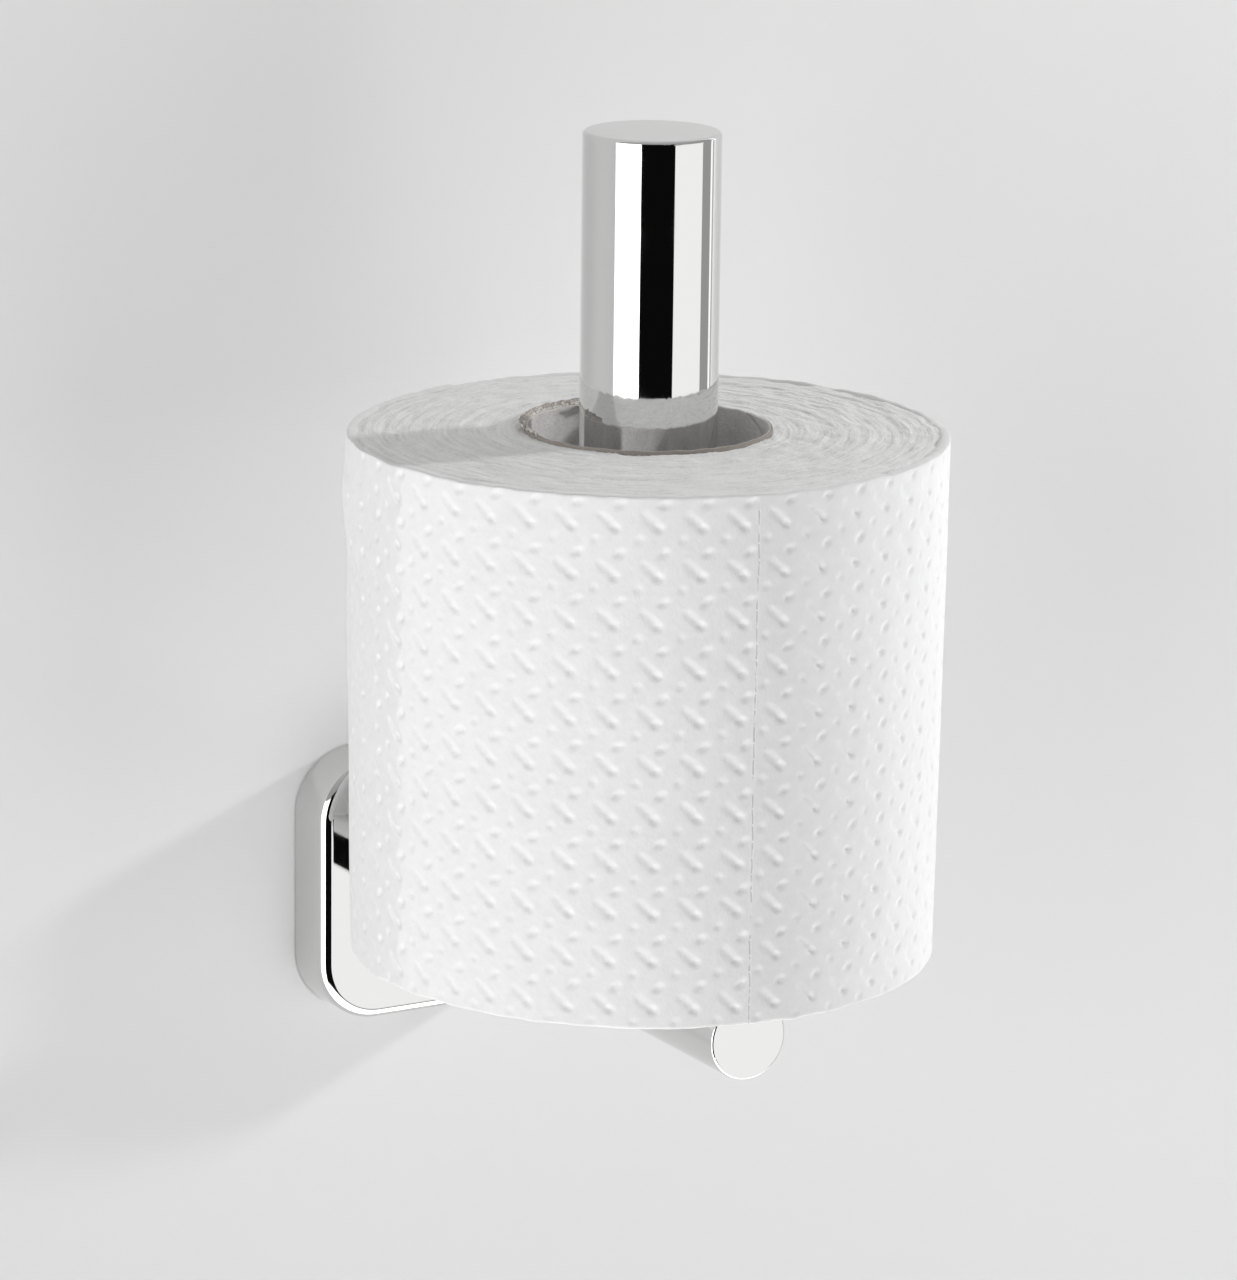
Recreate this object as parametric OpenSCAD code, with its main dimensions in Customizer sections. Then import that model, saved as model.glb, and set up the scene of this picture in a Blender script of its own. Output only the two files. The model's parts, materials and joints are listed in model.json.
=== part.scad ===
// Wall-mounted toilet paper holder: a rounded square wall plate, a round arm that runs out from it
// and an upright post on the arm, with a roll of paper standing on the post.
// Millimetres. The wall is the plane y = 0, the holder stands out of it along -Y, and Z is up.
// The origin is the centre of the wall plate, on the wall.

/* [Wall plate] */
// Width and height of the polished plate cover
plate_size = 55; // [52:1:60]
// How far the cover stands out of the wall
plate_depth = 12; // [12:0.5:18]
// Radius of the cover's four corners
plate_corner_r = 13; // [9:1:15]
// Rounding of the cover's front edge
plate_edge_r = 2.5; // [1:0.5:2.5]
// Thickness of the cover's drawn sheet
plate_wall = 1.2; // [1:0.1:1.4]

/* [Arm] */
// Outer diameter of the arm
arm_d = 16; // [15:0.5:18]
// Wall thickness of the arm's tube
arm_wall = 1.5; // [1.2:0.1:1.6]
// Distance from the wall to the arm's front face
arm_reach = 132; // [125:1:145]

/* [Post] */
// Outer diameter of the post
post_d = 26; // [24:0.5:30]
// Wall thickness of the post's tube
post_wall = 1.2; // [1:0.1:1.5]
// Distance from the wall to the post's axis
post_out = 92; // [85:1:95]
// Height of the post's flat top above the arm's axis
post_top = 165; // [140:1:180]

/* [Roll] */
// Outer diameter of a full roll
roll_d = 114; // [90:1:120]
// Width of the paper
roll_w = 100; // [90:1:110]
// Outer diameter of the cardboard core
core_d = 46.8; // [44:0.2:50]
// Thickness of the core's board
core_board = 0.8; // [0.6:0.1:1.2]
// How far the core has slipped up out of the paper
core_slip = 1; // [0:0.2:2]
// How much smaller the roll's radius is at its foot than at its top
roll_taper = 1; // [0:0.2:2]

/* [Hidden] */
$fn = 96;

slack = 0.05;             // radial room of a screw in its thread and of a pin in its hole
plug_slack = 0.1;         // radial room of a plug in its tube
overrun = 1;              // how far a cutting tool runs past the face that it opens

// Fastener sizes
m6_r = 3;                 // M6 thread
m6_clear_r = 3.3;         // clearance hole for M6
m6_head_r = 5.25;         // button head
m6_head_h = 3.2;
m6_socket = 4;            // hexagon socket, across flats
washer_t = 1.6;
lock_washer_t = 1.4;
m5_r = 2.5;               // M5 grub screw
m5_socket = 2.5;
thread_pitch = 1;
thread_depth = 0.35;

// Wall bracket: a dovetail block, narrow at the wall and wide at its front
pad_t = 0.8;
bracket_w = 40;
bracket_front = 7.3;      // distance of its front face from the wall
bracket_back_z = 14;      // half height at the wall
bracket_front_z = 17;     // half height at the front
bracket_lip = 1;          // straight edge before the dovetail starts
relief_r = 8;             // room for the head of the arm's screw
wall_hole_x = 13.5;       // wall screw holes, left and right of the centre
wall_hole_r = 2.6;
wall_sink_r = 4.6;        // countersink for the wall screws' heads
pad_hole_r = 3.2;

// Carrier insert inside the cover
cover_inner = plate_size - 2 * plate_wall;
cover_front_wall = 1.5;
insert_gap = 0.2;
insert_size = cover_inner - 2 * insert_gap;
insert_corner_r = plate_corner_r - plate_wall - insert_gap;
insert_back = 1;
insert_front = plate_depth - cover_front_wall;
insert_web = 2.5;         // thickness of the wall that the arm's screw clamps
web_back = insert_front - insert_web;
hook_gap = 0.2;           // room between the insert's hook and the bracket's dovetail
drop_room = 2.5;          // room under the bracket, so that the cover can be lifted on
insert_open_w = bracket_w + 0.8;

// Grub screw: it comes up from below and presses on the bracket's dovetail
grub_out = 4.5;
grub_foot_z = -plate_size / 2 + 1.5;
grub_tip_z = -16.3;
grub_cone_h = 1.4;
grub_tip_r = 1.1;
grub_hole_r = 2.8;

// Arm
arm_r = arm_d / 2;
arm_inner_r = arm_r - arm_wall;
cap_t = 1.5;              // thickness of the two end caps' discs
arm_edge_r = 0.5;         // rounding of the arm's front edge
arm_spigot = 6;
arm_plug_len = 18;
arm_thread_depth = 14;
arm_screw_len = 20;
arm_head_back = web_back - washer_t - lock_washer_t;
pin_r = 1;
pin_offset = 4.9;         // how far the locating pin stands off the arm's axis
pin_back = web_back + 0.2;
pin_len = 12;

// Post
post_r = post_d / 2;
post_inner_r = post_r - post_wall;
post_edge_r = 0.8;
post_spigot = 8;
foot_z = 3;               // lowest point of the foot, which straddles the arm
foot_r = post_r - 0.4;    // the foot is a little slimmer than the post, as a shadow line
cope_r = arm_r + 0.02;    // the foot is cut to sit on the arm
post_base_z = 9.5;        // where the post's tube starts
foot_top_z = 27;
foot_thread_top_z = 22;
post_screw_len = 25;
seat_z = -3.2;            // face of the bush that the screw's washer bears on
head_hole_r = 5.7;        // opening under the arm that takes the screw's head
bush_r = 5.6;

// Roll
roll_foot_z = arm_r + 0.2;
roll_r = roll_d / 2;
core_r = core_d / 2;

// Stands a shape that is drawn upwards along Z out of the wall, from a distance d
module out_of_wall(d = 0) translate([0, -d, 0]) rotate([90, 0, 0]) children();

// Moves a shape to the post's axis
module at_post() translate([0, -post_out, 0]) children();

// Round-cornered plate of thickness t, built from boxes and true cylinders
module rounded_plate(size, r, t) {
    inner = size - 2 * r;
    translate([-size / 2, -inner / 2, 0]) cube([size, inner, t]);
    translate([-inner / 2, -size / 2, 0]) cube([inner, size, t]);
    for (x = [-1, 1], y = [-1, 1]) translate([x * inner / 2, y * inner / 2, 0]) cylinder(r = r, h = t);
}

// Half section of a puck with a rounded upper edge, which is also the section of a straight side
module edge_section(reach, t, edge) {
    square([reach, t - edge]);
    square([reach - edge, t]);
    translate([reach - edge, t - edge]) circle(r = edge);
}

// Round-cornered plate whose front edge is rounded all the way round
module soft_plate(size, r, t, edge) {
    inner = size - 2 * r;
    translate([-inner / 2, -inner / 2, 0]) cube([inner, inner, t]);
    for (turn = [0 : 90 : 270]) rotate([0, 0, turn]) {
        translate([inner / 2, inner / 2, 0]) rotate_extrude(angle = 90) edge_section(r, t, edge);
        translate([inner / 2, inner / 2, 0]) rotate([90, 0, 0]) linear_extrude(inner)
            edge_section(r, t, edge);
    }
}

// Disc with a rounded upper edge
module soft_disc(r, t, edge) rotate_extrude() edge_section(r, t, edge);

// Hexagon socket, open upwards, with its mouth at the origin
module hex_socket(across, depth)
    translate([0, 0, -depth]) cylinder(r = across / sqrt(3), h = depth + overrun, $fn = 6);

// Threaded shank: a stack of V ridges round a plain core, starting at the origin
module threaded_shank(r, length) {
    turns = floor(length / thread_pitch);
    cylinder(r = r - thread_depth, h = length);
    for (i = [0 : turns - 1]) translate([0, 0, i * thread_pitch])
        rotate_extrude() polygon([[0, 0], [r - thread_depth, 0], [r, thread_pitch / 2],
                                  [r - thread_depth, thread_pitch], [0, thread_pitch]]);
}

// Button head screw: the head hangs below the origin and the shank stands above it
module button_screw(length) {
    threaded_shank(m6_r - slack, length);
    difference() {
        rotate([180, 0, 0]) soft_disc(m6_head_r, m6_head_h, 1.6);
        rotate([180, 0, 0]) translate([0, 0, m6_head_h]) hex_socket(m6_socket, 2);
    }
}

// Flat ring
module ring(r_outer, r_inner, t) difference() {
    cylinder(r = r_outer, h = t);
    translate([0, 0, -overrun]) cylinder(r = r_inner, h = t + 2 * overrun);
}

// Spring washer: a ring with one narrow split
module split_ring(r_outer, t) difference() {
    ring(r_outer, m6_r + 0.15, t);
    translate([m6_r - 1, -0.4, -overrun]) rotate([0, 0, 12]) cube([r_outer, 0.8, t + 2 * overrun]);
}

module adhesive_pad() color("dimgray") out_of_wall() difference() {
    translate([-bracket_w / 2, -bracket_back_z, 0]) cube([bracket_w, 2 * bracket_back_z, pad_t]);
    translate([0, 0, -overrun]) cylinder(r = relief_r, h = pad_t + 2 * overrun);
    for (side = [-1, 1]) translate([side * wall_hole_x, 0, -overrun])
        cylinder(r = pad_hole_r, h = pad_t + 2 * overrun);
}

module wall_bracket() color("darkgray") difference() {
    // the section is drawn as [distance from the wall, height] and runs across the bracket
    translate([-bracket_w / 2, 0, 0]) rotate([90, 0, 90]) linear_extrude(bracket_w)
        polygon([[-pad_t, -bracket_back_z], [-pad_t - bracket_lip, -bracket_back_z],
                 [-bracket_front, -bracket_front_z], [-bracket_front, bracket_front_z],
                 [-pad_t - bracket_lip, bracket_back_z], [-pad_t, bracket_back_z]]);
    out_of_wall() cylinder(r = relief_r, h = bracket_front + overrun);
    for (side = [-1, 1]) translate([side * wall_hole_x, 0, 0]) {
        out_of_wall() cylinder(r = wall_hole_r, h = bracket_front + overrun);
        out_of_wall(bracket_front - 2) cylinder(r1 = wall_hole_r, r2 = wall_sink_r, h = 2.01);
    }
}

module plate_shell() color("gainsboro") difference() {
    out_of_wall() soft_plate(plate_size, plate_corner_r, plate_depth, plate_edge_r);
    out_of_wall(-overrun) rounded_plate(cover_inner, plate_corner_r - plate_wall,
                                        plate_depth - cover_front_wall + overrun);
    out_of_wall() cylinder(r = m6_clear_r, h = plate_depth + overrun);
    out_of_wall(insert_front - overrun) translate([0, -pin_offset, 0])
        cylinder(r = pin_r + slack, h = cover_front_wall + 2 * overrun);
    translate([0, -grub_out, -plate_size / 2 - overrun])
        cylinder(r = grub_hole_r, h = plate_wall + 2 * overrun);
}

module plate_insert() color("gray") difference() {
    out_of_wall(insert_back) rounded_plate(insert_size, insert_corner_r, insert_front - insert_back);
    // the pocket over the bracket: its upper edge hooks behind the dovetail,
    // and its lower edge leaves room for the cover to be lifted on
    translate([-insert_open_w / 2, 0, 0]) rotate([90, 0, 90]) linear_extrude(insert_open_w)
        polygon([[0, -bracket_front_z - drop_room], [-web_back, -bracket_front_z - drop_room],
                 [-web_back, bracket_front_z + hook_gap], [-bracket_front, bracket_front_z + hook_gap],
                 [-pad_t - bracket_lip, bracket_back_z + hook_gap], [0, bracket_back_z + hook_gap]]);
    out_of_wall() cylinder(r = m6_clear_r, h = plate_depth);
    out_of_wall(web_back - overrun) translate([0, -pin_offset, 0])
        cylinder(r = pin_r + slack, h = insert_web + 2 * overrun);
    translate([0, -grub_out, -plate_size / 2]) cylinder(r = m5_r, h = plate_size / 2 - bracket_back_z);
}

module grub_screw() color("silver") translate([0, -grub_out, grub_foot_z]) {
    shank = grub_tip_z - grub_foot_z - grub_cone_h;
    difference() {
        cylinder(r = m5_r - slack, h = shank);
        rotate([180, 0, 0]) hex_socket(m5_socket, 3);
    }
    translate([0, 0, shank]) cylinder(r1 = m5_r - slack, r2 = grub_tip_r, h = grub_cone_h);
}

module arm_screw() color("silver") out_of_wall(arm_head_back) button_screw(arm_screw_len);

module arm_lock_washer() color("silver") out_of_wall(arm_head_back) split_ring(5.6, lock_washer_t);

module arm_flat_washer() color("silver") out_of_wall(web_back - washer_t) ring(6, m6_clear_r - 0.1, washer_t);

// Stops the arm from turning under the weight of a roll
module arm_locating_pin() color("silver") out_of_wall(pin_back) translate([0, -pin_offset, 0])
    cylinder(r = pin_r, h = pin_len);

module arm_tube() color("gainsboro") difference() {
    out_of_wall(plate_depth) ring(arm_r, arm_inner_r, arm_reach - cap_t - plate_depth);
    at_post() translate([0, 0, -arm_r - overrun]) cylinder(r = head_hole_r, h = arm_r);
    at_post() cylinder(r = m6_clear_r, h = arm_r + overrun);
}

module arm_thread_plug() color("silver") out_of_wall(plate_depth) difference() {
    cylinder(r = arm_inner_r - plug_slack, h = arm_plug_len);
    translate([0, 0, -overrun]) cylinder(r = m6_r, h = arm_thread_depth + overrun);
    translate([0, -pin_offset, -overrun]) cylinder(r = pin_r + slack, h = pin_len);
}

module arm_end_cap() color("whitesmoke") {
    out_of_wall(arm_reach - cap_t) soft_disc(arm_r, cap_t, arm_edge_r);
    out_of_wall(arm_reach - cap_t - arm_spigot) cylinder(r = arm_inner_r - plug_slack, h = arm_spigot);
}

// Saddle under the post: it straddles the arm, plugs into the post's tube and holds the screw's thread
module post_foot() color("silver") difference() {
    at_post() {
        translate([0, 0, foot_z]) cylinder(r = foot_r, h = post_base_z - foot_z);
        translate([0, 0, foot_z]) cylinder(r = post_inner_r - plug_slack, h = foot_top_z - foot_z);
    }
    out_of_wall() cylinder(r = cope_r, h = arm_reach);
    at_post() cylinder(r = m6_r, h = foot_thread_top_z);
}

module post_tube() color("gainsboro") at_post() translate([0, 0, post_base_z])
    ring(post_r, post_inner_r, post_top - cap_t - post_base_z);

module post_end_cap() color("whitesmoke") at_post() {
    translate([0, 0, post_top - cap_t]) soft_disc(post_r, cap_t, post_edge_r);
    translate([0, 0, post_top - cap_t - post_spigot])
        cylinder(r = post_inner_r - plug_slack, h = post_spigot);
}

module post_screw() color("silver") at_post() translate([0, 0, seat_z - lock_washer_t])
    button_screw(post_screw_len);

module post_lock_washer() color("silver") at_post() translate([0, 0, seat_z - lock_washer_t])
    split_ring(5.3, lock_washer_t);

// Fills the arm under the post, so that the screw can't crush the tube
module post_screw_bush() color("dimgray") difference() {
    intersection() {
        at_post() translate([0, 0, seat_z]) cylinder(r = bush_r, h = arm_r - seat_z);
        out_of_wall() cylinder(r = arm_inner_r - plug_slack, h = arm_reach);
    }
    at_post() translate([0, 0, seat_z - overrun]) cylinder(r = m6_clear_r, h = arm_d);
}

module cardboard_core() color("tan") at_post() translate([0, 0, roll_foot_z + core_slip])
    ring(core_r - slack, core_r - core_board, roll_w);

// The roll stands on its paper, which is wound a little tighter at the foot
module paper_roll() color("white") at_post() translate([0, 0, roll_foot_z]) rotate_extrude()
    polygon([[core_r, 0], [roll_r - roll_taper, 0], [roll_r, roll_w], [core_r, roll_w]]);

adhesive_pad();
wall_bracket();
plate_shell();
plate_insert();
grub_screw();
arm_screw();
arm_lock_washer();
arm_flat_washer();
arm_locating_pin();
arm_tube();
arm_thread_plug();
arm_end_cap();
post_foot();
post_tube();
post_end_cap();
post_screw();
post_lock_washer();
post_screw_bush();
cardboard_core();
paper_roll();
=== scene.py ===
# %% [markdown]
# # A polished upright toilet paper holder
# The holder is a polished steel cover on the wall, an arm that runs out of it and a thick post that
# stands on the arm, with a full roll of embossed paper slipped over the post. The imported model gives
# every steel piece in its true size and place. This script builds what makes it look real around
# that frame: the paper, the board of the core, the finishes and a small studio.

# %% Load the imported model
import json
import math

import bpy
from mathutils import Matrix, Vector


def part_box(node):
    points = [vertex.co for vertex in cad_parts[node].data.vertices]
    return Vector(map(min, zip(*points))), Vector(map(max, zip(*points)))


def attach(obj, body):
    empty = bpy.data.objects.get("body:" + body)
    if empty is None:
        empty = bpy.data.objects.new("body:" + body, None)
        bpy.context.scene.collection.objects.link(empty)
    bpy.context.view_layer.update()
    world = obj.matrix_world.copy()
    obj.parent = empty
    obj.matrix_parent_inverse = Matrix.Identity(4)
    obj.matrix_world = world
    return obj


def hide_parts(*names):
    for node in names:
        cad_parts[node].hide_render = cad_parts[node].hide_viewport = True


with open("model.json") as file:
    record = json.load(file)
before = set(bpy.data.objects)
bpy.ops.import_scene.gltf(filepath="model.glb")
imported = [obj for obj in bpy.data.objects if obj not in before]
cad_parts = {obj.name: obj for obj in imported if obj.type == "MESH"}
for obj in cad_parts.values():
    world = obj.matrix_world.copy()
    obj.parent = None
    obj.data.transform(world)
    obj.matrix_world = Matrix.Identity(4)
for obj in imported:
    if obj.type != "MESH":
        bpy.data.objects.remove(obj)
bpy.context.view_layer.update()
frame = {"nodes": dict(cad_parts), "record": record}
nodes = frame["nodes"]

# %% [markdown]
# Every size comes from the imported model. The wall is the plane y = 0 and the holder stands out of it
# along -Y, so a distance from the wall is minus y. A millimetre is a handier unit for small details,
# and two places that are less than TINY apart count as one.

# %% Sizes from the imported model
MM = 0.001
TINY = 0.01 * MM
roll_low, roll_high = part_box("paper_roll")
core_low, core_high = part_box("cardboard_core")
tube_low, tube_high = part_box("post_tube")

post_y = (tube_low.y + tube_high.y) / 2
post_axis = Vector((0, post_y, 0))
roll_r = (roll_high.x - roll_low.x) / 2
core_r = (core_high.x - core_low.x) / 2
roll_foot = roll_low.z
core_foot = core_low.z
core_top = core_high.z
core_slip = core_foot - roll_foot
roll_top = core_top - core_slip
roll_height = roll_top - roll_foot
print("post at y", round(post_y, 4))
print("roll radius", round(roll_r, 4), "height", round(roll_height, 4))

# %% [markdown]
# ## Camera
# A long lens from a little over a metre away flattens the perspective, as product pictures do. The
# camera stands to the left of the holder and a little above it, and is turned by less than a degree
# about its own axis.

# %% Camera
AIM = Vector((-6.3, -92.7, 68.6)) * MM
CAMERA_TURN = math.radians(30.09)
CAMERA_LIFT = math.radians(13.92)
CAMERA_ROLL = math.radians(0.72)
CAMERA_DISTANCE = 1.140
LENS_MM = 170.1
SENSOR_MM = 36

ahead = Vector((math.sin(CAMERA_TURN) * math.cos(CAMERA_LIFT),
                math.cos(CAMERA_TURN) * math.cos(CAMERA_LIFT), -math.sin(CAMERA_LIFT)))
level = Vector((math.cos(CAMERA_TURN), -math.sin(CAMERA_TURN), 0))
upright = level.cross(ahead)
camera_x = math.cos(CAMERA_ROLL) * level + math.sin(CAMERA_ROLL) * upright
camera_y = math.cos(CAMERA_ROLL) * upright - math.sin(CAMERA_ROLL) * level
bpy.ops.object.camera_add(location=AIM - CAMERA_DISTANCE * ahead)
camera = bpy.context.object
camera.name = "camera"
camera.rotation_euler = Matrix((camera_x, camera_y, -ahead)).transposed().to_euler()
camera.data.lens = LENS_MM
camera.data.sensor_width = SENSOR_MM
camera.data.clip_start = 0.01
bpy.context.scene.camera = camera
bpy.context.scene.view_settings.view_transform = "Standard"
print("camera at", [round(v, 3) for v in camera.location])

# %% [markdown]
# ## Helpers for pieces
# An operator acts on everything that is selected, so each piece is picked on its own first. Modifiers
# are applied at once, which leaves a finished piece as a plain mesh with its place in its vertices.

# %% Select, settle and modify
def only(piece):
    """Leaves one object selected and active, in object mode."""
    active = bpy.context.view_layer.objects.active
    if active and active.mode != "OBJECT":
        bpy.ops.object.mode_set(mode="OBJECT")
    bpy.ops.object.select_all(action="DESELECT")
    piece.select_set(True)
    bpy.context.view_layer.objects.active = piece
    return piece


def named(name):
    """Names the primitive that was just added."""
    piece = bpy.context.object
    piece.name = name
    piece.data.name = name
    return only(piece)


def settle(piece):
    """Moves a piece's place, turn and scale into its mesh."""
    only(piece)
    bpy.ops.object.transform_apply(location=True, rotation=True, scale=True)


def modify(piece, kind, **settings):
    """Adds one modifier with these settings and applies it."""
    only(piece)
    modifier = piece.modifiers.new(kind.lower(), kind)
    for key, value in settings.items():
        setattr(modifier, key, value)
    bpy.context.view_layer.update()
    bpy.ops.object.modifier_apply(modifier=modifier.name)


# %% Select by place and edit
def pick(piece, wanted, mode="VERT"):
    """Selects the vertices (or whole edges or faces) whose coordinates pass the test."""
    only(piece)
    bpy.ops.object.mode_set(mode="EDIT")
    bpy.ops.mesh.select_mode(type=mode)
    bpy.ops.mesh.select_all(action="DESELECT")
    bpy.ops.object.mode_set(mode="OBJECT")
    mesh = piece.data
    inside = [wanted(vertex.co) for vertex in mesh.vertices]
    items = {"VERT": mesh.vertices, "EDGE": mesh.edges, "FACE": mesh.polygons}[mode]
    for item in items:
        own = [item.index] if mode == "VERT" else item.vertices
        item.select = all(inside[i] for i in own)
    bpy.ops.object.mode_set(mode="EDIT")


def everything(piece):
    """Enters edit mode with the whole mesh selected."""
    pick(piece, lambda point: True)


def done(piece, smooth=None):
    """Leaves edit mode, shades the piece smooth below an angle and prints its size."""
    only(piece)
    if smooth is not None:
        bpy.ops.object.shade_smooth_by_angle(angle=math.radians(smooth))
    xyz = list(zip(*(vertex.co for vertex in piece.data.vertices)))
    size = [round((max(values) - min(values)) / MM, 1) for values in xyz]
    print(piece.name, "mm", size, "faces", len(piece.data.polygons))
    return piece


def copied(piece, name):
    """A copy with a mesh of its own."""
    twin = piece.copy()
    twin.data = piece.data.copy()
    bpy.context.collection.objects.link(twin)
    twin.name = name
    twin.data.name = name
    return only(twin)

# %% [markdown]
# ## Helpers for finishes
# A finish is a Principled shader whose colour, roughness and relief come from a few small patterns.
# These helpers keep each finish below to a handful of lines. All the patterns are laid out in metres
# on the piece's own coordinates, so a scale of 1000 gives features of about a millimetre.

# %% Node helpers
def wire(tree, value, socket):
    """Links an output to a socket, or sets the socket to a number."""
    if isinstance(value, bpy.types.NodeSocket):
        tree.links.new(value, socket)
    else:
        socket.default_value = value


def calc(tree, operation, *values):
    """A Math node."""
    node = tree.nodes.new("ShaderNodeMath")
    node.operation = operation
    for socket, value in zip(node.inputs, values):
        wire(tree, value, socket)
    return node.outputs[0]


def step_up(tree, value, low, high):
    """Rises smoothly from 0 at low to 1 at high."""
    node = tree.nodes.new("ShaderNodeMapRange")
    node.interpolation_type = "SMOOTHSTEP"
    wire(tree, value, node.inputs["Value"])
    node.inputs["From Min"].default_value = low
    node.inputs["From Max"].default_value = high
    return node.outputs[0]


def between(tree, value, low, high, soft):
    """1 between low and high, falling to 0 over soft on either side."""
    rise = step_up(tree, value, low - soft, low)
    return calc(tree, "SUBTRACT", rise, step_up(tree, value, high, high + soft))


def finish(name, colour, rough, metallic=0.0):
    """A new material with one Principled shader."""
    material = bpy.data.materials.new(name)
    material.use_nodes = True
    tree = material.node_tree
    skin = tree.nodes["Principled BSDF"]
    skin.inputs["Base Color"].default_value = (*colour, 1)
    skin.inputs["Roughness"].default_value = rough
    skin.inputs["Metallic"].default_value = metallic
    return material, tree, skin


def place(tree, stretch=(1, 1, 1), shift=(0, 0, 0)):
    """The piece's own coordinates, shifted and stretched."""
    node = tree.nodes.new("ShaderNodeMapping")
    tree.links.new(tree.nodes.new("ShaderNodeTexCoord").outputs["Object"], node.inputs["Vector"])
    node.inputs["Scale"].default_value = stretch
    node.inputs["Location"].default_value = shift
    return node.outputs[0]


def speckle(tree, where, scale, detail=3.0, rough=0.55):
    """A Noise pattern around 0.5."""
    node = tree.nodes.new("ShaderNodeTexNoise")
    tree.links.new(where, node.inputs["Vector"])
    node.inputs["Scale"].default_value = scale
    node.inputs["Detail"].default_value = detail
    node.inputs["Roughness"].default_value = rough
    return node.outputs[0]


def tint(tree, value, *stops):
    """Colours a value: each stop is a place from 0 to 1 and a colour."""
    node = tree.nodes.new("ShaderNodeValToRGB")
    wire(tree, value, node.inputs[0])
    ramp = node.color_ramp.elements
    while len(ramp) < len(stops):
        ramp.new(0.5)
    for element, (spot, colour) in zip(ramp, stops):
        element.position = spot
        element.color = (*colour, 1)
    return node.outputs["Color"]


def blend_to(tree, factor, colour, other):
    """Goes from a coloured pattern to one other colour as the factor goes from 0 to 1."""
    node = tree.nodes.new("ShaderNodeMix")
    node.data_type = "RGBA"
    first, second = [socket for socket in node.inputs if socket.type == "RGBA"]
    wire(tree, factor, node.inputs["Factor"])
    tree.links.new(colour, first)
    second.default_value = (*other, 1)
    return next(socket for socket in node.outputs if socket.type == "RGBA")


def relief(tree, skin, height, depth, strength=1.0):
    """Adds a bump of this depth in metres on top of any earlier one."""
    node = tree.nodes.new("ShaderNodeBump")
    node.inputs["Distance"].default_value = depth
    node.inputs["Strength"].default_value = strength
    wire(tree, height, node.inputs["Height"])
    if skin.inputs["Normal"].links:
        tree.links.new(skin.inputs["Normal"].links[0].from_socket, node.inputs["Normal"])
    tree.links.new(node.outputs[0], skin.inputs["Normal"])


def round_post(tree):
    """Radius from the post's axis, angle about it from the front, and height."""
    split = tree.nodes.new("ShaderNodeSeparateXYZ")
    tree.links.new(place(tree, shift=(0, -post_y, 0)), split.inputs[0])
    x, y, z = split.outputs
    squares = calc(tree, "ADD", calc(tree, "MULTIPLY", x, x), calc(tree, "MULTIPLY", y, y))
    radius = calc(tree, "SQRT", squares)
    angle = calc(tree, "ARCTAN2", x, calc(tree, "MULTIPLY", y, -1.0))
    return radius, angle, z


def mix_factor(tree, factor, first, second):
    """Goes from the first number to the second as the factor goes from 0 to 1."""
    node = tree.nodes.new("ShaderNodeMix")
    wire(tree, factor, node.inputs["Factor"])
    wire(tree, first, node.inputs["A"])
    wire(tree, second, node.inputs["B"])
    return node.outputs["Result"]

# %% [markdown]
# ## Studio
# A mirror finish shows the room more than itself, so the room is designed first. The sky of the scene
# is a ring of tall soft panels around a dark front: seen in a round post, each panel becomes an upright
# band. Angles are counted from straight out of the wall, to the right as positive. The panels
# hang low and one more lies below, so the top of the roll gets less light than its side, and the
# pressed marks in the paper are dark along their lower walls.

# %% Sky of panels
PANELS = [
    # left and right edge, lower and upper edge in degrees, strength
    (-98, -48, -60, 16, 3.1),
    (8.8, 62, -28, 2, 1.2),
    (84, 89, -55, 10, 1.4),
    (-170, 170, -90, -42, 2.8),
]
DARK_FRONT = (-48, 8.8)
DARK_LIFT = (-38, 20)
SKY_UP = 0.50
SKY_SIDE = 0.40
BEHIND_GREY = 0.70
BACKDROP_GREY = 0.80

world = bpy.data.worlds.new("studio")
bpy.context.scene.world = world
world.use_nodes = True
sky = world.node_tree
sky.nodes.clear()
split = sky.nodes.new("ShaderNodeSeparateXYZ")
sky.links.new(sky.nodes.new("ShaderNodeTexCoord").outputs["Generated"], split.inputs[0])
east, north, up = split.outputs
turn = calc(sky, "DEGREES", calc(sky, "ARCTAN2", east, calc(sky, "MULTIPLY", north, -1.0)))
lift = calc(sky, "DEGREES", calc(sky, "ARCSINE", up))

dark = calc(sky, "MULTIPLY", between(sky, turn, *DARK_FRONT, 1.0), between(sky, lift, *DARK_LIFT, 8))
grey = mix_factor(sky, step_up(sky, lift, 30, 60), SKY_SIDE, SKY_UP)
light = calc(sky, "MULTIPLY", calc(sky, "SUBTRACT", 1.01, dark), grey)
for left, right, low, high, strength in PANELS:
    band = calc(sky, "MULTIPLY", between(sky, turn, left, right, 0.8), between(sky, lift, low, high, 6))
    light = calc(sky, "MAXIMUM", light, calc(sky, "MULTIPLY", band, strength))
behind = step_up(sky, north, 0.0, 0.05)
room_light = mix_factor(sky, behind, light, BEHIND_GREY)

room = sky.nodes.new("ShaderNodeBackground")
sky.links.new(room_light, room.inputs["Color"])
backdrop = sky.nodes.new("ShaderNodeBackground")
backdrop.inputs["Color"].default_value = (BACKDROP_GREY, BACKDROP_GREY, BACKDROP_GREY, 1)
choose = sky.nodes.new("ShaderNodeMixShader")
sky.links.new(sky.nodes.new("ShaderNodeLightPath").outputs["Is Camera Ray"], choose.inputs["Fac"])
sky.links.new(room.outputs[0], choose.inputs[1])
sky.links.new(backdrop.outputs[0], choose.inputs[2])
sky.links.new(choose.outputs[0], sky.nodes.new("ShaderNodeOutputWorld").inputs["Surface"])
print("sky panels", len(PANELS))

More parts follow.
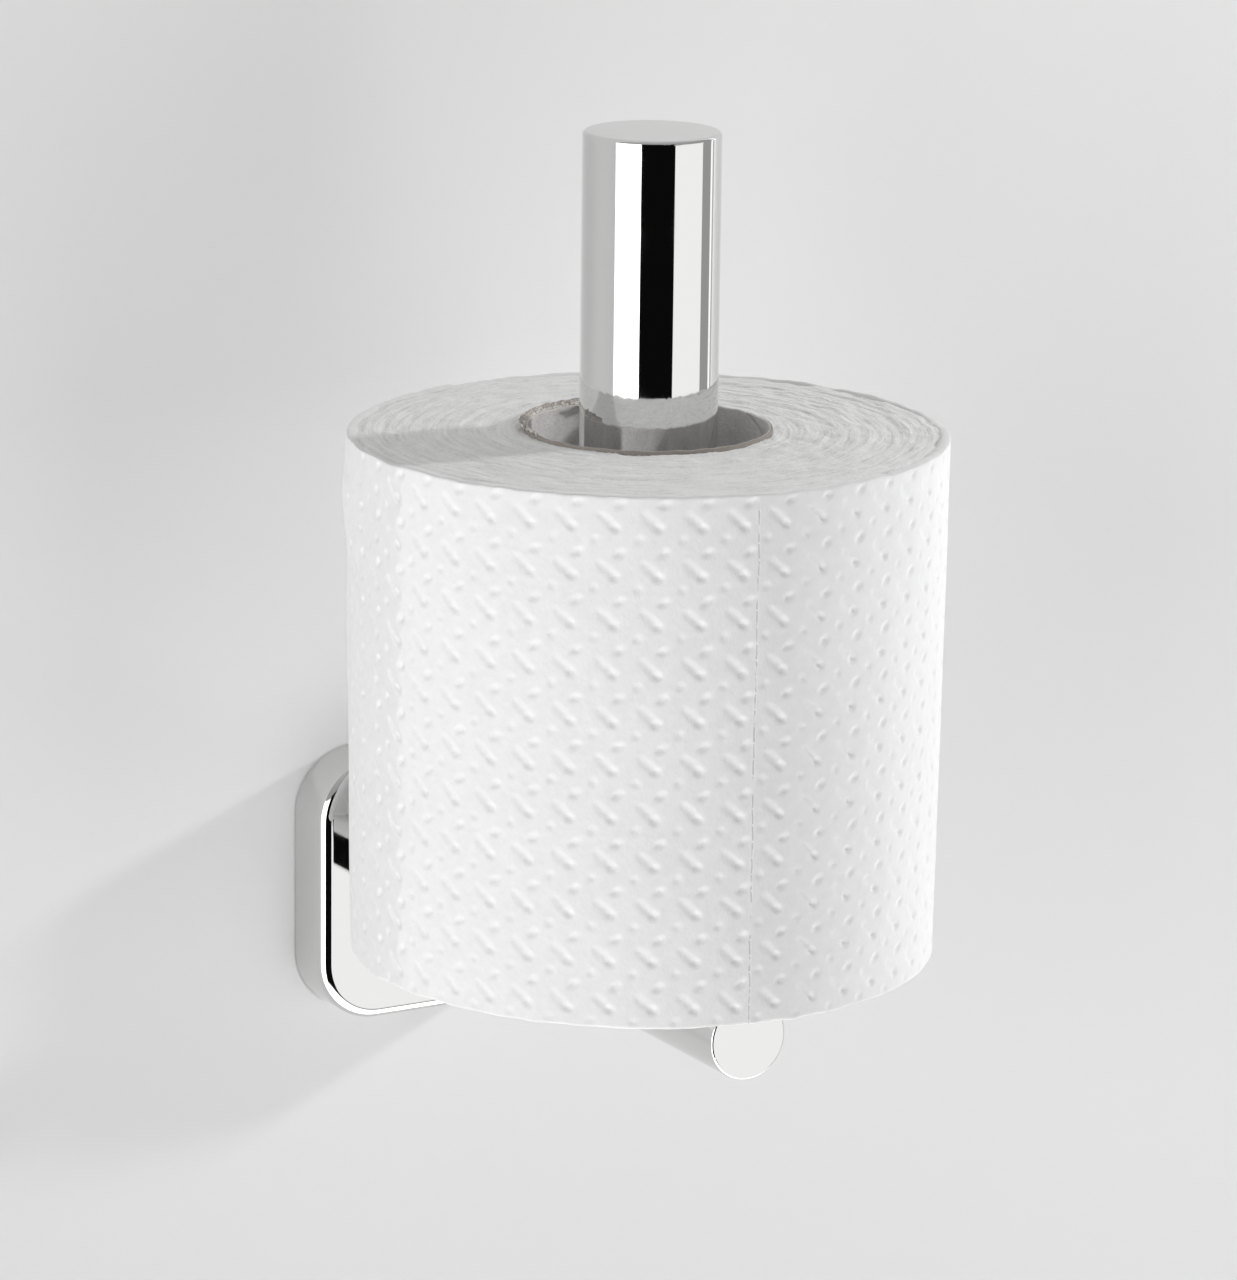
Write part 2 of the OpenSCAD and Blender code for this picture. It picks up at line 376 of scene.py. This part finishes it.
# %% [markdown]
# A lamp off to the right casts the post's shadow across the top of the roll and lights the inside
# of the core. It is small enough for a shadow with an edge and large enough for a soft one. A broad,
# weak lamp low in front lays the roll's wide soft shadow on the wall to its left. The polished steel
# shows only the panels, so both lamps are kept out of its reflections.

# %% Lamps
LAMP_DISTANCE = 1.6


def lamp(name, turn_degrees, lift_degrees, size, watts):
    """A square lamp that faces the post from this direction."""
    across, rise = math.radians(turn_degrees), math.radians(lift_degrees)
    direction = Vector((math.sin(across) * math.cos(rise),
                        -math.cos(across) * math.cos(rise), math.sin(rise)))
    bpy.ops.object.light_add(type="AREA", location=post_axis + LAMP_DISTANCE * direction)
    light = bpy.context.object
    light.name = name
    light.data.energy = watts
    light.data.size = size
    light.rotation_euler = direction.to_track_quat("Z", "Y").to_euler()
    light.visible_glossy = False
    print(name, "at", [round(v, 2) for v in light.location])


lamp("key_light", turn_degrees=82, lift_degrees=23, size=0.12, watts=14.6)
lamp("low_light", turn_degrees=20, lift_degrees=-10, size=0.8, watts=1.1)

# %% [markdown]
# The wall is a plain painted board a hair behind the holder. Its paint shows only from the front, so
# the holder is seen from behind too, though the board keeps the light off the back of the cover. The
# pale floor lies well below, and the polished steel doesn't mirror it, which keeps the bands in the
# post as tall as the panels.

# %% Wall and floor
WALL_HALF = 1.5
WALL_GAP = 0.2 * MM
FLOOR_HALF = 3.0
FLOOR_Z = -0.9

bpy.ops.object.select_all(action="DESELECT")
bpy.ops.mesh.primitive_plane_add(size=2 * WALL_HALF, location=(0, WALL_GAP, 0),
                                 rotation=(math.pi / 2, 0, 0))
wall = named("wall")
settle(wall)
everything(wall)
bpy.ops.mesh.subdivide(number_cuts=3)
only(wall)
print("wall normal", [round(v, 2) for v in wall.data.polygons[0].normal])

wall_paint, tree, skin = finish("wall_paint", (0.88, 0.88, 0.88), 0.9)
relief(tree, skin, speckle(tree, place(tree), 900, 2), 0.05 * MM, 0.3)
one_side = tree.nodes.new("ShaderNodeMixShader")
tree.links.new(tree.nodes.new("ShaderNodeNewGeometry").outputs["Backfacing"], one_side.inputs["Fac"])
tree.links.new(skin.outputs[0], one_side.inputs[1])
tree.links.new(tree.nodes.new("ShaderNodeBsdfTransparent").outputs[0], one_side.inputs[2])
tree.links.new(one_side.outputs[0], tree.nodes["Material Output"].inputs["Surface"])
wall.data.materials.append(wall_paint)

bpy.ops.object.select_all(action="DESELECT")
bpy.ops.mesh.primitive_plane_add(size=2 * FLOOR_HALF, location=(0, 0, FLOOR_Z))
floor = named("floor")
settle(floor)
floor_paint, tree, skin = finish("floor_paint", (0.80, 0.80, 0.80), 0.8)
relief(tree, skin, speckle(tree, place(tree), 300, 2), 0.1 * MM, 0.3)
floor.data.materials.append(floor_paint)
floor.visible_glossy = False
floor.visible_diffuse = False

# %% [markdown]
# ## Embossed outer sheets
# The outer turn of the roll is three sheets of soft paper, joined along perforated lines. The paper is
# embossed with slanting marks, repeated all over. A bump in the shader would look flat at the
# roll's outline, so the marks are real dents. One cell of the pattern is pressed into a small grid,
# the cell is repeated to a flat sheet, and the sheet is bent round the roll like real paper.

# %% Sizes of the sheets and of one cell of the pattern
SHEETS = 3
CELLS_ROUND = 15
CELLS_UP = 11
SHEET_LEAN = 0.45 * MM
SHEET_INSET = 0.35 * MM
EDGE_TUCK = 0.3 * MM

sheet_r = roll_r - SHEET_LEAN - SHEET_INSET
sheet_width = 2 * math.pi * sheet_r / SHEETS
sheet_height = roll_height - 2 * EDGE_TUCK
cell_w = sheet_width / CELLS_ROUND
cell_h = sheet_height / CELLS_UP
GRID_ACROSS = 18
GRID_UP = 20
print("cell mm", round(cell_w / MM, 2), "by", round(cell_h / MM, 2))

# %% [markdown]
# A stamp is a soft round dimple, stretched to the length and width of the mark: a Displace modifier
# reads a spherical blend through an empty that is placed, turned and scaled like the stamp's tip.

# %% Press a mark into a flat piece
dimple = bpy.data.textures.new("dimple", "BLEND")
dimple.progression = "SPHERICAL"


def stamp(piece, x, y, angle, length, width, depth, across="Z", z=0.0, reach=None):
    """Presses a long dimple into the piece, or raises it where depth is negative."""
    bpy.ops.object.empty_add(location=(x, y, z), rotation=(0, 0, math.radians(angle)))
    tip = bpy.context.object
    tip.scale = (length / 2, width / 2, (reach or width) / 2)
    modify(piece, "DISPLACE", texture=dimple, texture_coords="OBJECT", texture_coords_object=tip,
           direction=across, mid_level=0.0, strength=-depth)
    bpy.data.objects.remove(tip)


# %% The marks
# every dent of a mark: millimetres right and up of its middle, angle, length, width and depth
LONG_MARK = [(0, 0, -42, 5.8, 2.3, 0.27), (1.35, -1.25, -18, 2.4, 1.9, 0.46),
             (-1.3, 1.2, -42, 2.0, 1.8, 0.10)]
SHORT_MARK = [(-1.6, -1.3, 28, 3.0, 1.8, 0.44), (1.7, 1.1, 0, 2.0, 1.9, 0.28)]


def press(piece, x, y, mark):
    """Presses all the dents of one mark."""
    for right, up, angle, length, width, depth in mark:
        stamp(piece, x + right * MM, y + up * MM, angle, length * MM, width * MM, depth * MM)


# %% One cell
bpy.ops.object.select_all(action="DESELECT")
bpy.ops.mesh.primitive_grid_add(x_subdivisions=GRID_ACROSS, y_subdivisions=GRID_UP, size=1)
cell = named("outer_sheet_1")
everything(cell)
bpy.ops.transform.resize(value=(cell_w, cell_h, 1))
only(cell)

# the long mark falls to the right, and its lower end is pressed deepest
press(cell, 0, 0, LONG_MARK)

# between the long marks a short dash rises to the right, with a small dot further along its line
for corner_x in (-cell_w / 2, cell_w / 2):
    for corner_y in (-cell_h / 2, cell_h / 2):
        press(cell, corner_x, corner_y, SHORT_MARK)
lowest = min(vertex.co.z for vertex in cell.data.vertices)
print("deepest dent mm", round(lowest / MM, 2))

# %% [markdown]
# The cell is repeated by two Array modifiers that weld the joins. The sheet's four edges are then
# extruded: the top and bottom edges turn over into a soft rim, one torn edge tucks under the next
# sheet and the other dips inwards, so a fine groove with a paper floor runs where two sheets meet.

# %% Repeat the cell to one flat sheet
sheet_1 = cell
for count, step in ((CELLS_ROUND, (1, 0, 0)), (CELLS_UP, (0, 1, 0))):
    modify(sheet_1, "ARRAY", count=count, relative_offset_displace=step, use_merge_vertices=True,
           merge_threshold=TINY)
everything(sheet_1)
bpy.ops.transform.translate(value=(-(CELLS_ROUND - 1) / 2 * cell_w, -(CELLS_UP - 1) / 2 * cell_h, 0))
only(sheet_1)
half_w, half_h = sheet_width / 2, sheet_height / 2

# %% Turn the rims over
TUCK = 0.9 * MM
TUCK_IN = 0.3 * MM
TUCK_SINK = 0.1 * MM
DIP = 1.2 * MM
# each step of the rim: millimetres up, then inwards
RIM_STEPS = [(0.12, 0.10), (0.12, 0.25), (0.06, 0.45), (0.0, 0.9), (-0.5, 0.7)]
for end in (-1, 1):
    pick(sheet_1, lambda point: point.y * end > half_h - TINY, "EDGE")
    for up_step, in_step in RIM_STEPS:
        bpy.ops.mesh.extrude_edges_move(
            TRANSFORM_OT_translate={"value": (0, end * up_step * MM, -in_step * MM)})
    only(sheet_1)
pick(sheet_1, lambda point: point.x < TINY - half_w, "EDGE")
bpy.ops.mesh.extrude_edges_move(TRANSFORM_OT_translate={"value": (-TUCK, -TUCK_SINK, -TUCK_IN)})
only(sheet_1)
pick(sheet_1, lambda point: point.x > half_w - TINY and abs(point.y) < half_h + TINY, "EDGE")
bpy.ops.mesh.extrude_edges_move(TRANSFORM_OT_translate={"value": (-TINY, 0, -DIP)})
only(sheet_1)
done(sheet_1)

# %% [markdown]
# The flat sheet is stood up facing the room, leaned by a hair because the roll is a little wider at
# its top, and copied to the three places round the roll. Bending each copy by a third of a turn
# brings the edges together.

# %% Stand up, lean, copy and bend
PERFORATION = math.radians(-9.5)
everything(sheet_1)
bpy.ops.transform.rotate(value=-math.pi / 2, orient_axis="X", center_override=(0, 0, 0))
bpy.ops.transform.rotate(value=-math.atan(SHEET_LEAN / half_h), orient_axis="X",
                         center_override=(0, 0, 0))
only(sheet_1)

sheets = [sheet_1] + [copied(sheet_1, f"outer_sheet_{number}") for number in range(2, SHEETS + 1)]
for number, sheet in enumerate(sheets):
    everything(sheet)
    along = PERFORATION * sheet_r + (number - 0.5) * sheet_width
    bpy.ops.transform.translate(value=(along, 0, 0))
    only(sheet)
    # the modifier spreads its angle over the whole width, tucked edge included
    modify(sheet, "SIMPLE_DEFORM", deform_method="BEND", deform_axis="Z",
           angle=(sheet_width + TUCK) / sheet_r)
    everything(sheet)
    bpy.ops.transform.translate(value=(0, post_y - sheet_r, roll_foot + roll_height / 2))
    only(sheet)


def from_post(point):
    """Distance from the post's axis."""
    return math.hypot(point.x, point.y - post_y)


for level in (roll_top, roll_foot):
    reach = max(from_post(v.co) for v in sheet_1.data.vertices if abs(v.co.z - level) < 5 * MM)
    print("at height", round(level, 3), "the sheet's radius is", round(reach, 5))

# %% [markdown]
# Paper that has been wound by machine and handled is never a true cylinder. A faint cloudy pattern
# pushes the sheets in and out, and the top edge stands a little proud on one side, where the outer
# turn has come loose. The push is the same at both sides of a seam, so the sheets stay together.

# %% Soft unevenness of the sheets
def clouds(name, size, detail):
    """A cloudy pattern whose lumps are about this wide."""
    texture = bpy.data.textures.new(name, "CLOUDS")
    texture.noise_scale = size
    texture.noise_depth = detail
    return texture


def roughen(piece, texture, push, direction="Z", middle=0.5):
    """Pushes the piece in and out, or up and down, by a pattern laid on its own coordinates."""
    modify(piece, "DISPLACE", texture=texture, texture_coords="LOCAL", direction=direction,
           mid_level=middle, strength=push)


soft_clouds = clouds("soft_clouds", 32 * MM, 1)
fine_clouds = clouds("fine_clouds", 5 * MM, 1)
LOOSE_TURN = math.radians(-112)
LOOSE_SIZE = 33 * MM
LOOSE_PUSH = 1.2 * MM
LOOSE_DROP = 11 * MM
LOOSE_TALL = 26 * MM
loose_spot = (roll_r * math.sin(LOOSE_TURN), post_y - roll_r * math.cos(LOOSE_TURN))
for sheet in sheets:
    roughen(sheet, soft_clouds, 0.7 * MM, "NORMAL", middle=0.62)
    roughen(sheet, fine_clouds, 0.6 * MM)
    stamp(sheet, *loose_spot, 0, LOOSE_SIZE, LOOSE_SIZE, -LOOSE_PUSH, across="NORMAL",
          z=roll_top - LOOSE_DROP, reach=LOOSE_TALL)
    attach(sheet, "paper")
    done(sheet, smooth=80)

# %% [markdown]
# ## Wound paper
# Inside the outer sheets is the bulk of the roll. Only its two ends show: hundreds of cut edges lying
# side by side, in fine rings that rise and fall a little. A thin outline of the roll's wall is spun
# about the post, with many points along the two ends, and then pushed up and down by a ring pattern
# and by clouds. Both ends lie a hair higher at the core than at the outside, and the core stands a
# little proud of the upper one.

# %% Outline of the roll's wall
ROLL_STEPS = 240
RINGS = 140
SKIN_GAP = 1.6 * MM
FOOT_LIFT = 0.25 * MM
END_CROWN = 0.25 * MM
EDGE_DROP = 0.25 * MM
BORE_GAP = 0.05 * MM
wound_r = roll_r - SHEET_LEAN * 2 - SKIN_GAP

bpy.ops.object.select_all(action="DESELECT")
bpy.ops.mesh.primitive_plane_add(size=1, rotation=(math.pi / 2, 0, 0))
wound = named("wound_paper")
settle(wound)
everything(wound)
bore_r = core_r + BORE_GAP
middle_r = (wound_r + bore_r) / 2
bpy.ops.transform.resize(value=(wound_r - bore_r, 1, roll_height - FOOT_LIFT))
bpy.ops.transform.translate(value=(middle_r, post_y, roll_foot + (roll_height + FOOT_LIFT) / 2))
only(wound)
pick(wound, lambda point: point.x < middle_r)
bpy.ops.transform.translate(value=(0, 0, END_CROWN))
only(wound)
pick(wound, lambda point: point.x > middle_r and point.z > roll_top - MM)
bpy.ops.transform.translate(value=(2 * SHEET_LEAN, 0, -EDGE_DROP))
everything(wound)
bpy.ops.mesh.delete(type="ONLY_FACE")
only(wound)
middle_z = roll_foot + roll_height / 2
for upper in (False, True):
    pick(wound, lambda point: (point.z > middle_z) == upper, "EDGE")
    bpy.ops.mesh.subdivide(number_cuts=RINGS)
    only(wound)
print("outline points", len(wound.data.vertices))

# %% Spin it round the post
everything(wound)
bpy.ops.mesh.spin(steps=ROLL_STEPS, angle=2 * math.pi, center=(0, post_y, 0), axis=(0, 0, 1))
everything(wound)
bpy.ops.mesh.remove_doubles(threshold=0.02 * MM)
bpy.ops.mesh.normals_make_consistent(inside=False)
only(wound)

# %% Rings and unevenness of the cut ends
bpy.ops.object.empty_add(location=(0, post_y, 0))
ring_centre = bpy.context.object
cut_rings = bpy.data.textures.new("cut_rings", "WOOD")
cut_rings.wood_type = "RINGNOISE"
cut_rings.noise_basis_2 = "SIN"
cut_rings.noise_scale = 0.35
cut_rings.turbulence = 6
for ring_width, push in ((0.9 * MM, 0.16 * MM), (4.3 * MM, 0.30 * MM)):
    # the rings of this texture are 2 pi / 20 apart before they are scaled
    ring_centre.scale = (ring_width / (math.pi / 10),) * 3
    modify(wound, "DISPLACE", texture=cut_rings, texture_coords="OBJECT",
           texture_coords_object=ring_centre, direction="Z", mid_level=0.5, strength=push)
bpy.data.objects.remove(ring_centre)
roughen(wound, clouds("end_clouds", 9 * MM, 3), 0.55 * MM)
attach(wound, "paper")
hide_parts("paper_roll")
done(wound, smooth=70)

# %% [markdown]
# ## Core
# The core is a tube of thin grey board, wound on a slant like all such tubes, with a slightly ragged
# rim. It is a round wall given its thickness by a Solidify modifier. Its rim is softened by a bevel
# and roughened by clouds. The outside of the board is browner than its pale inside.

# %% Board tube
BOARD = 0.75 * MM
bpy.ops.object.select_all(action="DESELECT")
bpy.ops.mesh.primitive_cylinder_add(vertices=180, radius=core_r, depth=core_top - core_foot,
                                    location=(0, post_y, (core_top + core_foot) / 2),
                                    end_fill_type="NOTHING")
core = named("core_tube")
settle(core)
everything(core)
bpy.ops.mesh.subdivide(number_cuts=1)
only(core)
modify(core, "SOLIDIFY", thickness=BOARD, offset=-1, use_even_offset=True)
modify(core, "BEVEL", width=0.2 * MM, segments=2, limit_method="ANGLE", angle_limit=math.radians(60))
roughen(core, clouds("rim_clouds", 3.5 * MM, 2), 0.5 * MM)
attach(core, "core")
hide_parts("cardboard_core")
done(core, smooth=50)

# %% [markdown]
# Where the first turn of paper was glued to the core it has torn, and a ragged fringe of board and
# paper stands up round part of the rim, with one larger curl. Each strip is a small grid with a
# ragged upper edge, leaned out over the paper or in over the core, given some thickness and bent
# round the rim like the sheets. All of it stays clear of the paper, which turns on its own.

# %% Torn fringe
ragged = clouds("ragged", 1.6 * MM, 3)


def fringe(name, from_turn, to_turn, radius, foot, rise, tear, lean):
    """A torn strip round the core's rim, between two angles in degrees."""
    arc = math.radians(to_turn - from_turn)
    bpy.ops.object.select_all(action="DESELECT")
    bpy.ops.mesh.primitive_grid_add(x_subdivisions=90, y_subdivisions=5, size=1,
                                    rotation=(math.pi / 2, 0, 0))
    strip = named(name)
    settle(strip)
    everything(strip)
    bpy.ops.transform.resize(value=(radius * arc, 1, rise))
    only(strip)
    pick(strip, lambda point: point.z > 0)
    bpy.ops.transform.translate(value=(0, -lean, 0))
    only(strip)
    roughen(strip, ragged, tear, middle=0.6)
    roughen(strip, ragged, tear * 0.6, "Y")
    modify(strip, "SOLIDIFY", thickness=0.12 * MM, offset=0)
    modify(strip, "SIMPLE_DEFORM", deform_method="BEND", deform_axis="Z", angle=arc)
    everything(strip)
    bpy.ops.transform.translate(value=(0, -radius, 0))
    bpy.ops.transform.rotate(value=-math.radians(from_turn + to_turn) / 2, orient_axis="Z",
                             center_override=(0, 0, 0))
    bpy.ops.transform.translate(value=(0, post_y, foot + rise / 2))
    only(strip)
    middle = strip.data.polygons[len(strip.data.polygons) // 2].center
    print(name, "lies at", round(math.degrees(math.atan2(middle.x, post_y - middle.y))), "degrees")
    return done(strip, smooth=60)


# each strip: its two angles, then how far inside the core's edge and how far above the rim its foot
# is, its height, how deep its edge is torn and how far it leans out, in millimetres
STRIPS = {
    "torn_board": (-190, -92, 0.35, -0.2, 1.1, 0.9, 0.5),
    "torn_paper": (-182, -105, 0.1, 0.1, 0.9, 1.1, 1.0),
    "torn_curl": (-186, -172, 0.5, -0.6, 1.5, 1.5, -1.8),
}
fringes = []
for name, (from_turn, to_turn, inside, above, rise, tear, lean) in STRIPS.items():
    fringes.append(fringe(name, from_turn, to_turn, core_r - inside * MM, core_top + above * MM,
                          rise * MM, tear * MM, lean * MM))
for strip in fringes:
    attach(strip, "core")

# %% [markdown]
# ## Finishes
# Polished steel is a mirror with the faintest waves left by the polishing wheel and a few hair
# scratches. The waves are what makes a reflection look like metal and not like a perfect computed one.

# %% Polished steel
polished, tree, skin = finish("polished_steel", (0.70, 0.70, 0.695), 0.03, metallic=1.0)
smears = speckle(tree, place(tree), 90, 4)
wire(tree, mix_factor(tree, step_up(tree, smears, 0.35, 0.75), 0.02, 0.07), skin.inputs["Roughness"])
relief(tree, skin, speckle(tree, place(tree, stretch=(1, 1, 0.35)), 120, 1), 0.02 * MM, 0.25)
relief(tree, skin, speckle(tree, place(tree, stretch=(1, 1, 6)), 900, 2), 0.002 * MM, 0.2)

# %% [markdown]
# The hidden pieces have plainer metals: a grainy casting, turned parts with fine rings left by the
# lathe, and screws with a dull plated skin.

# %% Casting, turned and screw steel
casting, tree, skin = finish("zinc_casting", (0.52, 0.53, 0.55), 0.45, metallic=1.0)
grain = speckle(tree, place(tree), 1400, 4)
grain_colour = tint(tree, grain, (0.3, (0.44, 0.45, 0.47)), (0.7, (0.60, 0.61, 0.63)))
wire(tree, grain_colour, skin.inputs["Base Color"])
relief(tree, skin, grain, 0.06 * MM, 0.5)


def turned(name, stretch):
    """Steel with lathe rings: the noise is squeezed along the lathe's axis."""
    material, tree, skin = finish(name, (0.60, 0.60, 0.59), 0.25, metallic=1.0)
    rings = speckle(tree, place(tree, stretch=stretch), 100, 2)
    wire(tree, mix_factor(tree, rings, 0.18, 0.34), skin.inputs["Roughness"])
    relief(tree, skin, rings, 0.02 * MM, 0.5)
    return material


turned_along_arm = turned("turned_steel_arm", (0.2, 40, 0.2))
turned_along_post = turned("turned_steel_post", (0.2, 0.2, 40))

plated, tree, skin = finish("screw_steel", (0.58, 0.57, 0.54), 0.35, metallic=1.0)
cloudy = speckle(tree, place(tree), 700, 4)
plated_colour = tint(tree, cloudy, (0.3, (0.50, 0.49, 0.46)), (0.7, (0.64, 0.63, 0.60)))
wire(tree, plated_colour, skin.inputs["Base Color"])
wire(tree, mix_factor(tree, cloudy, 0.25, 0.45), skin.inputs["Roughness"])
relief(tree, skin, cloudy, 0.02 * MM, 0.4)

# %% [markdown]
# The foam pad behind the bracket is full of small cells. A Voronoi pattern gives their round hollows,
# and paints each hollow darker towards its bottom as painted shade.

# %% Foam
foam, tree, skin = finish("foam_pad", (0.62, 0.63, 0.64), 0.95)
cells = tree.nodes.new("ShaderNodeTexVoronoi")
tree.links.new(place(tree), cells.inputs["Vector"])
cells.inputs["Scale"].default_value = 1600
hollows = cells.outputs["Distance"]
# painted shade: the colour darkens towards the bottom of each hollow
foam_hollow_shade = tint(tree, hollows, (0.1, (0.48, 0.49, 0.50)), (0.6, (0.68, 0.69, 0.70)))
wire(tree, foam_hollow_shade, skin.inputs["Base Color"])
relief(tree, skin, hollows, 0.2 * MM, 0.6)

# %% [markdown]
# The board is grey, pressed from waste paper: it has light and dark fibres, and a slanting seam where
# one strip of board meets the next. The seam is where the height, less a share of the angle round the
# core, comes back to the same value.

# %% Board
SEAM_RISE = 62 * MM
SEAM_HALF = 0.004
board, tree, skin = finish("core_board", (0.46, 0.43, 0.41), 0.9)
radius, angle, height = round_post(tree)
fibres = speckle(tree, place(tree, stretch=(1, 1, 2.5)), 1300, 5, 0.65)
blotches = speckle(tree, place(tree), 160, 3)
mottled = calc(tree, "ADD", calc(tree, "MULTIPLY", fibres, 0.6), calc(tree, "MULTIPLY", blotches, 0.4))
colour = tint(tree, mottled, (0.30, (0.48, 0.46, 0.45)), (0.52, (0.65, 0.63, 0.62)),
              (0.70, (0.79, 0.78, 0.77)))
share = calc(tree, "DIVIDE", angle, 2 * math.pi)
climb = calc(tree, "SUBTRACT", calc(tree, "DIVIDE", height, SEAM_RISE), share)
from_seam = calc(tree, "ABSOLUTE", calc(tree, "SUBTRACT", calc(tree, "FRACT", climb), 0.5))
seam = between(tree, from_seam, -1, SEAM_HALF, SEAM_HALF)
inside_colour = blend_to(tree, calc(tree, "MULTIPLY", seam, 0.25), colour, (0.22, 0.20, 0.19))
outside = step_up(tree, radius, core_r - 0.55 * MM, core_r - 0.25 * MM)
board_colour = blend_to(tree, calc(tree, "MULTIPLY", outside, 0.75), inside_colour, (0.20, 0.165, 0.13))
tree.links.new(board_colour, skin.inputs["Base Color"])
relief(tree, skin, fibres, 0.10 * MM, 0.5)
relief(tree, skin, calc(tree, "MULTIPLY", seam, -1.0), 0.25 * MM, 0.8)
core.data.materials.append(board)

# %% [markdown]
# The torn fringe shows the inside of the board: longer fibres, paler and browner than the pressed
# face, with tufts of white paper still glued to it.

# %% Torn board
torn, tree, skin = finish("torn_board", (0.56, 0.52, 0.48), 0.98)
strands = speckle(tree, place(tree, stretch=(1, 1, 0.4)), 1500, 4, 0.7)
strand_colour = tint(tree, strands, (0.34, (0.34, 0.30, 0.27)), (0.50, (0.56, 0.52, 0.48)),
                     (0.62, (0.80, 0.79, 0.77)))
wire(tree, strand_colour, skin.inputs["Base Color"])
relief(tree, skin, strands, 0.2 * MM, 0.7)
for strip in fringes:
    strip.data.materials.append(torn)

# %% [markdown]
# The sheets are white, matt and slightly fuzzy. Two scales of fibre relief lie on top of the pressed
# marks. Along each torn line runs a row of short slits, painted dark as painted shade in the cuts: the
# pattern takes the distance round the roll from the nearest line, and cuts the line into dashes by
# height. Where the rim turns over to face up or down, the paper is painted greyer, like the cut ends:
# painted shade, as less light falls on the ends of the roll.

# %% Soft paper of the sheets
SLIT_HALF = 0.07 * MM
SLIT_SOFT = 0.10 * MM
DASH_STEP = 3.1 * MM
tissue, tree, skin = finish("tissue", (0.83, 0.83, 0.83), 0.95)
skin.inputs["Sheen Weight"].default_value = 0.25
skin.inputs["Sheen Roughness"].default_value = 0.5
skin.inputs["Specular IOR Level"].default_value = 0.2
angle, height = round_post(tree)[1:]
turns = calc(tree, "DIVIDE", calc(tree, "SUBTRACT", angle, PERFORATION), 2 * math.pi / SHEETS)
wander = calc(tree, "MULTIPLY", calc(tree, "SUBTRACT", speckle(tree, place(tree), 260, 2), 0.5), 0.006)
shifted = calc(tree, "ADD", turns, calc(tree, "ADD", wander, 100.5))
nearest = calc(tree, "SUBTRACT", calc(tree, "FRACT", shifted), 0.5)
from_line = calc(tree, "MULTIPLY", calc(tree, "ABSOLUTE", nearest), sheet_width)
on_line = between(tree, from_line, -1, SLIT_HALF, SLIT_SOFT)
dash_part = calc(tree, "FRACT", calc(tree, "DIVIDE", height, DASH_STEP))
slit = calc(tree, "MULTIPLY", on_line, between(tree, dash_part, 0.06, 0.86, 0.06))
patchy = step_up(tree, speckle(tree, place(tree), 330, 1), 0.38, 0.52)
slit = calc(tree, "MULTIPLY", slit, patchy)
fluff = speckle(tree, place(tree), 420, 3)
paper_white = tint(tree, fluff, (0.3, (0.81, 0.81, 0.81)), (0.7, (0.85, 0.85, 0.85)))
# painted shade: the slits are coloured dark where shade falls inside the cuts
slit_shade_colour = blend_to(tree, calc(tree, "MULTIPLY", slit, 0.38), paper_white, (0.40, 0.36, 0.33))
# painted shade: the paper is greyer where it faces up or down, as on the turned-over rim
facing = tree.nodes.new("ShaderNodeSeparateXYZ")
tree.links.new(tree.nodes.new("ShaderNodeNewGeometry").outputs["Normal"], facing.inputs[0])
rim_shade = step_up(tree, calc(tree, "ABSOLUTE", facing.outputs["Z"]), 0.55, 0.9)
paper_colour = blend_to(tree, rim_shade, slit_shade_colour, (0.72, 0.72, 0.715))
tree.links.new(paper_colour, skin.inputs["Base Color"])
relief(tree, skin, speckle(tree, place(tree), 700, 3, 0.6), 0.14 * MM, 0.45)
relief(tree, skin, speckle(tree, place(tree, stretch=(1, 1, 0.3)), 3000, 3, 0.7), 0.05 * MM, 0.5)
relief(tree, skin, calc(tree, "MULTIPLY", slit, -1.0), 0.12 * MM, 0.6)
for sheet in sheets:
    sheet.data.materials.append(tissue)

# %% [markdown]
# The cut ends are the same paper seen edge on. They are painted greyer than the sheets: painted
# shade for the light lost between the plies and for the weaker light on the ends of the roll. The noise
# is stretched along the rings: it changes fast with the radius and slowly around.

# %% Cut ends
cut_ends, tree, skin = finish("tissue_ends", (0.72, 0.72, 0.71), 0.98)
skin.inputs["Specular IOR Level"].default_value = 0.1
radius = round_post(tree)[0]
rings_at = tree.nodes.new("ShaderNodeCombineXYZ")
wire(tree, calc(tree, "MULTIPLY", radius, 1500), rings_at.inputs["X"])
split = tree.nodes.new("ShaderNodeSeparateXYZ")
tree.links.new(place(tree), split.inputs[0])
wire(tree, calc(tree, "MULTIPLY", split.outputs["X"], 60), rings_at.inputs["Y"])
wire(tree, calc(tree, "MULTIPLY", split.outputs["Y"], 60), rings_at.inputs["Z"])
ply_lines = speckle(tree, rings_at.outputs[0], 1.0, 3, 0.6)
tufts = speckle(tree, place(tree), 1100, 4, 0.7)
ends = calc(tree, "ADD", calc(tree, "MULTIPLY", ply_lines, 0.6), calc(tree, "MULTIPLY", tufts, 0.4))
# painted shade: the whole ramp is greyer than the sheets, for the shade between the plies and on the
# top
ends_shaded_colour = tint(tree, ends, (0.30, (0.62, 0.62, 0.61)), (0.48, (0.78, 0.78, 0.775)),
                   (0.68, (0.85, 0.85, 0.845)))
wire(tree, ends_shaded_colour, skin.inputs["Base Color"])
relief(tree, skin, ply_lines, 0.35 * MM, 0.5)
relief(tree, skin, tufts, 0.25 * MM, 0.6)
wound.data.materials.append(cut_ends)

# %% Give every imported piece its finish
FINISHES = {"polished_steel": polished, "zinc_casting": casting, "turned_steel": turned_along_arm,
            "screw_steel": plated, "foam_pad": foam, "core_board": board, "tissue": tissue}
slots = {part["node"]: part["material_slot"] for part in frame["record"]["subparts"]}
for name, node in nodes.items():
    chosen = FINISHES[slots[name]]
    if slots[name] == "turned_steel" and name.startswith("post"):
        chosen = turned_along_post
    for spot in node.material_slots:
        spot.material = chosen
print("finishes given to", len(nodes), "packed pieces")
